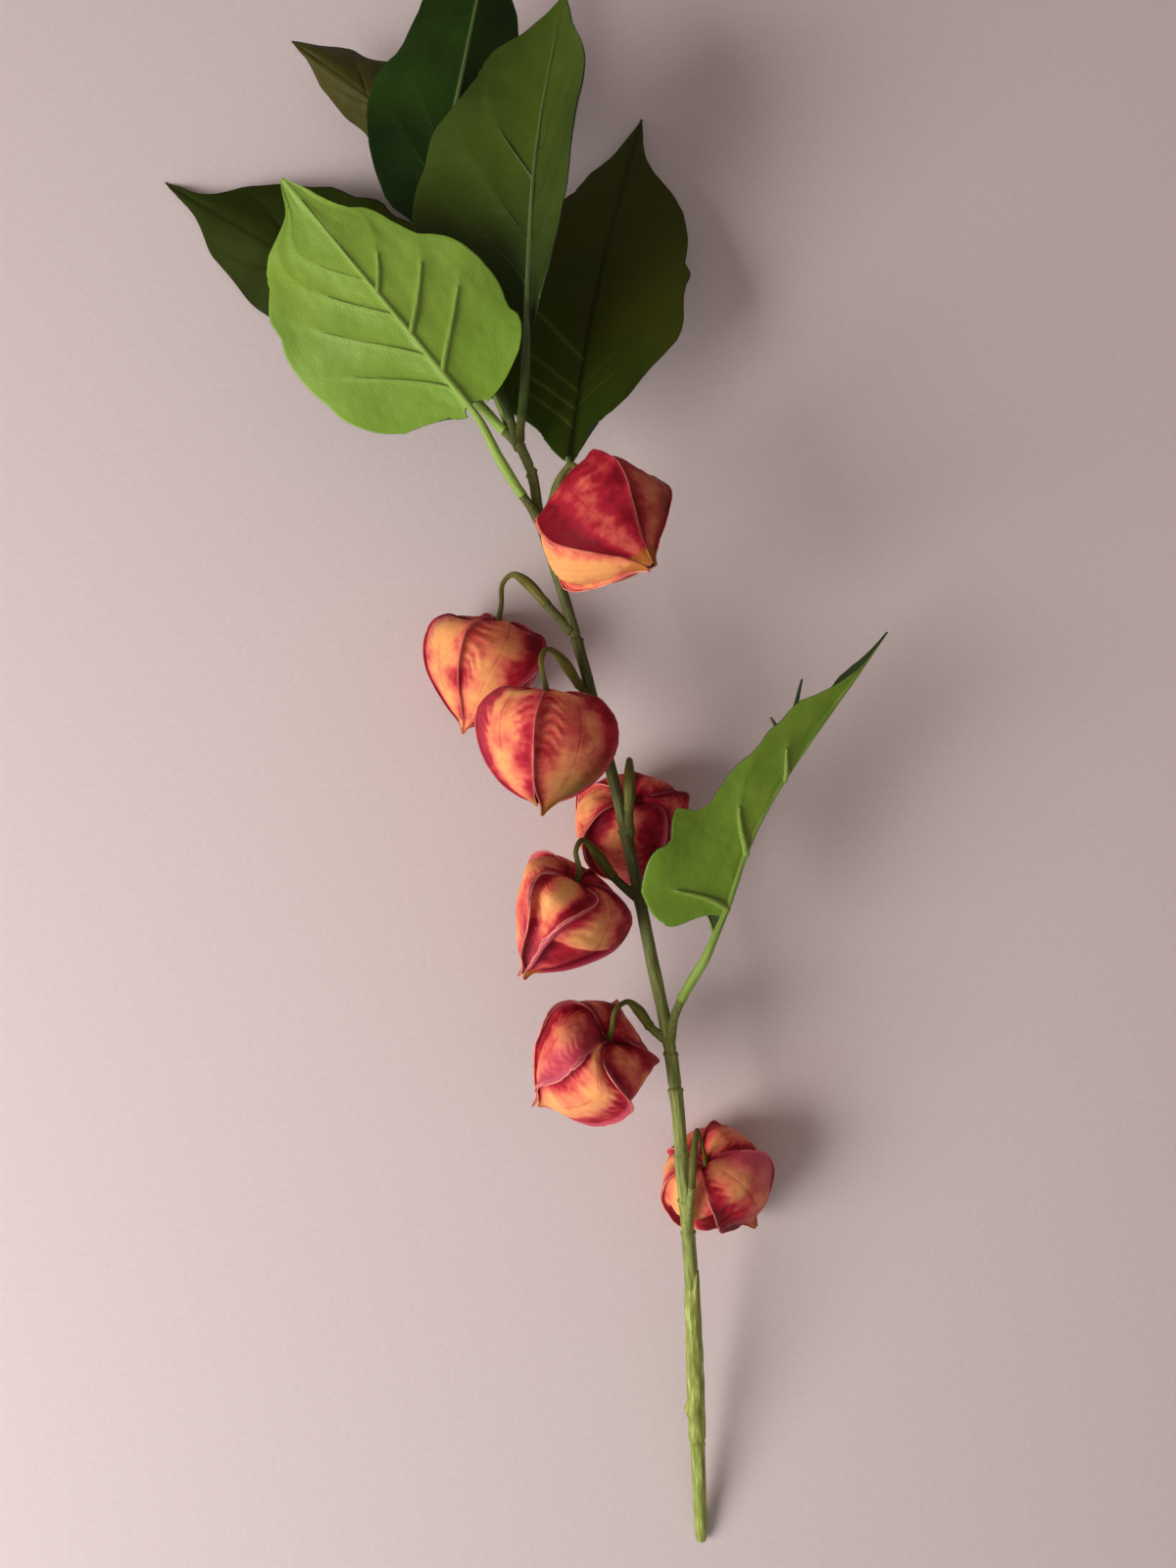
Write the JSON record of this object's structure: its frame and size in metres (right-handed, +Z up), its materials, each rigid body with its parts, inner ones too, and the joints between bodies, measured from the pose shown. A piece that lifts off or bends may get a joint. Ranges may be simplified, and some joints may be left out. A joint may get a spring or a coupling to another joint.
{
  "type": "artificial chinese lantern stem",
  "caption": "Cut artificial stem with papery lanterns on hooked stalks and broad veined leaves, lying on a surface.",
  "frame": {"origin": "centre of the footprint, on the surface the stem lies on", "axes": "+Y from the cut foot towards the leafy top, +Z up, away from the surface"},
  "size_m": [0.2836, 0.6356, 0.1018],
  "materials": {
    "stem_plastic": "satin",
    "foot_plastic": "satin",
    "stalk_plastic": "satin",
    "lantern_petals": "matte",
    "leaf_blade": "satin",
    "leaf_ribs": "satin"
  },
  "bodies": {
    "root": {"stem_upper": "stem_plastic", "stem_middle": "stem_plastic", "stem_foot": "foot_plastic", "lantern_stalk_1": "stalk_plastic", "lantern_1": "lantern_petals", "lantern_stalk_2": "stalk_plastic", "lantern_2": "lantern_petals", "lantern_stalk_3": "stalk_plastic", "lantern_3": "lantern_petals", "lantern_stalk_4": "stalk_plastic", "lantern_4": "lantern_petals", "lantern_stalk_5": "stalk_plastic", "lantern_5": "lantern_petals", "lantern_stalk_6": "stalk_plastic", "lantern_6": "lantern_petals", "lantern_stalk_7": "stalk_plastic", "lantern_7": "lantern_petals", "leaf_blade_1": "leaf_blade", "leaf_ribs_1": "leaf_ribs", "leaf_blade_2": "leaf_blade", "leaf_ribs_2": "leaf_ribs", "leaf_blade_3": "leaf_blade", "leaf_ribs_3": "leaf_ribs", "leaf_blade_4": "leaf_blade", "leaf_ribs_4": "leaf_ribs", "leaf_blade_5": "leaf_blade", "leaf_ribs_5": "leaf_ribs", "leaf_blade_6": "leaf_blade", "leaf_ribs_6": "leaf_ribs", "leaf_blade_7": "leaf_blade", "leaf_ribs_7": "leaf_ribs"}
  },
  "joints": []
}
